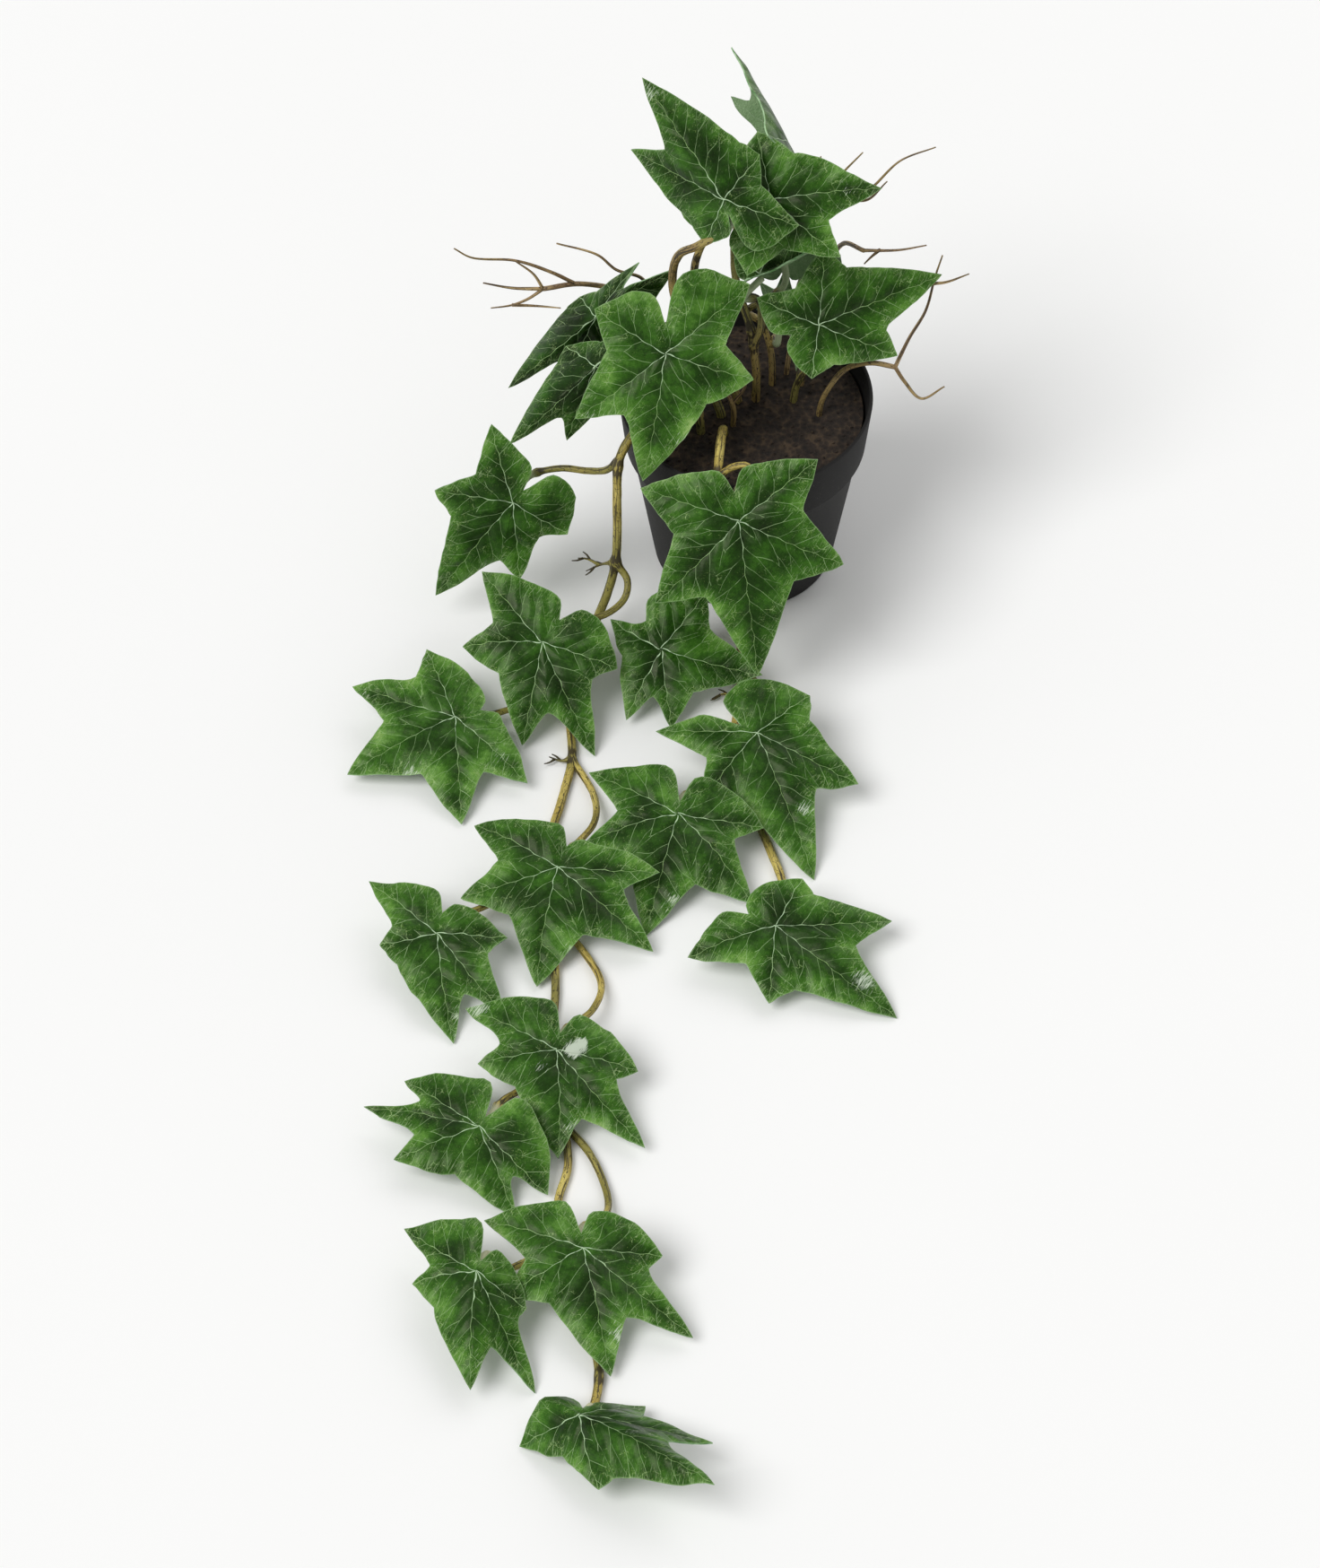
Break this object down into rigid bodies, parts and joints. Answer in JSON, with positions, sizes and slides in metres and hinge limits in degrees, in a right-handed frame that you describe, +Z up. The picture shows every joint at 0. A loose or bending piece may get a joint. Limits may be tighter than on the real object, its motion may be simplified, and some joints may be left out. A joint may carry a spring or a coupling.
{
  "type": "potted trailing ivy",
  "caption": "Trailing ivy in a small tapered matte black pot: leafy stems and bare twigs above the rim, leafy vines over the rim that lie along the surface.",
  "frame": {"origin": "centre of the pot's flat base, on the surface it stands on", "axes": "+Z up, the vines trail towards -Y, +X to the right seen from the trailing side"},
  "size_m": [0.2179, 0.4829, 0.1955],
  "materials": {
    "pot_plastic": "matte",
    "soil": "matte",
    "vine_bark": "satin",
    "twig_bark": "satin",
    "leaf": "satin"
  },
  "bodies": {
    "root": {"pot": "pot_plastic", "soil_fill": "soil", "trail_vine_left": "vine_bark", "trail_vine_front": "vine_bark", "stem_crown": "twig_bark", "stem_middle": "twig_bark", "stem_right": "twig_bark", "stem_top_left": "twig_bark", "stem_top_right": "twig_bark", "stem_left": "twig_bark", "stem_front_left": "twig_bark", "twig_right_high": "twig_bark", "twig_right_mid": "twig_bark", "twig_right_low": "twig_bark", "twig_left": "twig_bark", "twig_centre": "twig_bark", "leaf_crown": "leaf", "leaf_top_left": "leaf", "leaf_top_right": "leaf", "leaf_right": "leaf", "leaf_folded": "leaf", "leaf_back_high": "leaf", "leaf_back_low": "leaf", "leaf_right_under": "leaf", "leaf_left_upper": "leaf", "leaf_left_lower": "leaf", "leaf_front_left": "leaf", "leaf_front": "leaf", "leaf_left_hanging": "leaf", "leaf_trail_01": "leaf", "leaf_trail_02": "leaf", "leaf_trail_03": "leaf", "leaf_trail_04": "leaf", "leaf_trail_05": "leaf", "leaf_trail_06": "leaf", "leaf_trail_07": "leaf", "leaf_trail_08": "leaf", "leaf_trail_09": "leaf", "leaf_trail_10": "leaf", "leaf_trail_11": "leaf", "leaf_trail_12": "leaf", "leaf_trail_13": "leaf"}
  },
  "joints": []
}
